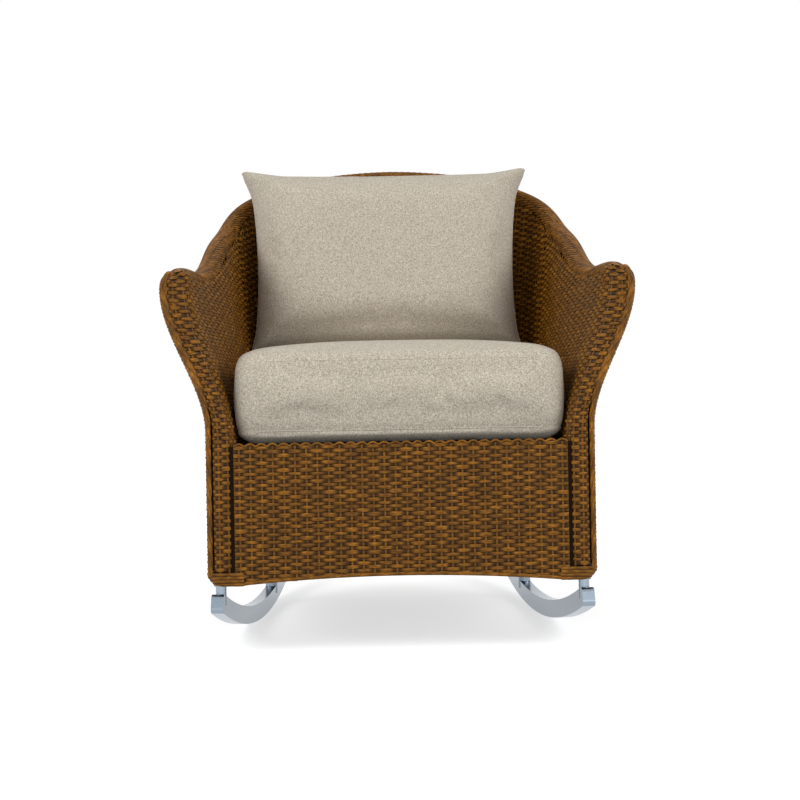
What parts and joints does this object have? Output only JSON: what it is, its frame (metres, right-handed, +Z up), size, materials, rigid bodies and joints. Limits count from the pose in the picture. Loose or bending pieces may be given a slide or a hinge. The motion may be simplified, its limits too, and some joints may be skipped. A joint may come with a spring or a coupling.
{
  "type": "woven lounge rocker",
  "caption": "Deep lounge chair with a woven shell, flared arms and a high curved back on bar rockers, with a loose box seat cushion and a loose knife-edge back pillow.",
  "frame": {"origin": "on the floor, under the middle of the bounding box", "axes": "+Z up, the chair faces -Y, +X to the right of someone looking at its front"},
  "size_m": [0.7878, 0.8666, 0.918],
  "materials": {
    "woven_strand": "extruded resin strand, satin",
    "frame_tube": "dark powder coat",
    "rocker_bar": "brushed and polished",
    "foot_metal": "turned",
    "fixings": "zinc plated",
    "deck_strap": "woven webbing",
    "cushion_fabric": "heathered weave",
    "pillow_fabric": "heathered weave",
    "filling": "foam and fibre"
  },
  "bodies": {
    "chair": {"left_arm_rail_wrap": "woven_strand", "right_arm_rail_wrap": "woven_strand", "back_rail_wrap": "woven_strand", "left_arm_front": "woven_strand", "right_arm_front": "woven_strand", "left_inner_arm": "woven_strand", "right_inner_arm": "woven_strand", "left_outer_side": "woven_strand", "right_outer_side": "woven_strand", "inner_back": "woven_strand", "outer_back": "woven_strand", "front_apron": "woven_strand", "left_front_braid": "woven_strand", "right_front_braid": "woven_strand", "left_front_corner_wrap": "woven_strand", "right_front_corner_wrap": "woven_strand", "left_rear_leg_wrap": "woven_strand", "right_rear_leg_wrap": "woven_strand", "left_arm_rail": "frame_tube", "right_arm_rail": "frame_tube", "back_rail": "frame_tube", "left_front_post": "frame_tube", "right_front_post": "frame_tube", "seat_front_rail": "frame_tube", "seat_left_rail": "frame_tube", "seat_right_rail": "frame_tube", "seat_rear_rail": "frame_tube", "base_front_rail": "frame_tube", "base_left_rail": "frame_tube", "base_right_rail": "frame_tube", "base_rear_rail": "frame_tube", "left_rear_leg": "frame_tube", "right_rear_leg": "frame_tube", "left_back_stay": "frame_tube", "middle_back_stay": "frame_tube", "right_back_stay": "frame_tube", "left_rocker": "rocker_bar", "right_rocker": "rocker_bar", "left_front_foot": "foot_metal", "right_front_foot": "foot_metal", "left_rear_foot": "foot_metal", "right_rear_foot": "foot_metal", "foot_studs": "fixings", "foot_washers": "fixings", "deck_clips": "fixings", "deck_long_straps": "deck_strap", "deck_cross_straps": "deck_strap"},
    "seat_cushion": {"seat_cushion_cover": "cushion_fabric", "seat_cushion_core": "filling"},
    "back_pillow": {"back_pillow_cover": "pillow_fabric", "back_pillow_fill": "filling"}
  },
  "joints": [
    {"name": "seat_cushion_lift", "type": "slide", "parent": "chair", "child": "seat_cushion", "axis": [0, 0, 1], "range_m": [0, 0.3]},
    {"name": "back_pillow_lift", "type": "slide", "parent": "seat_cushion", "child": "back_pillow", "axis": [0, 0, 1], "range_m": [0, 0.35]}
  ]
}
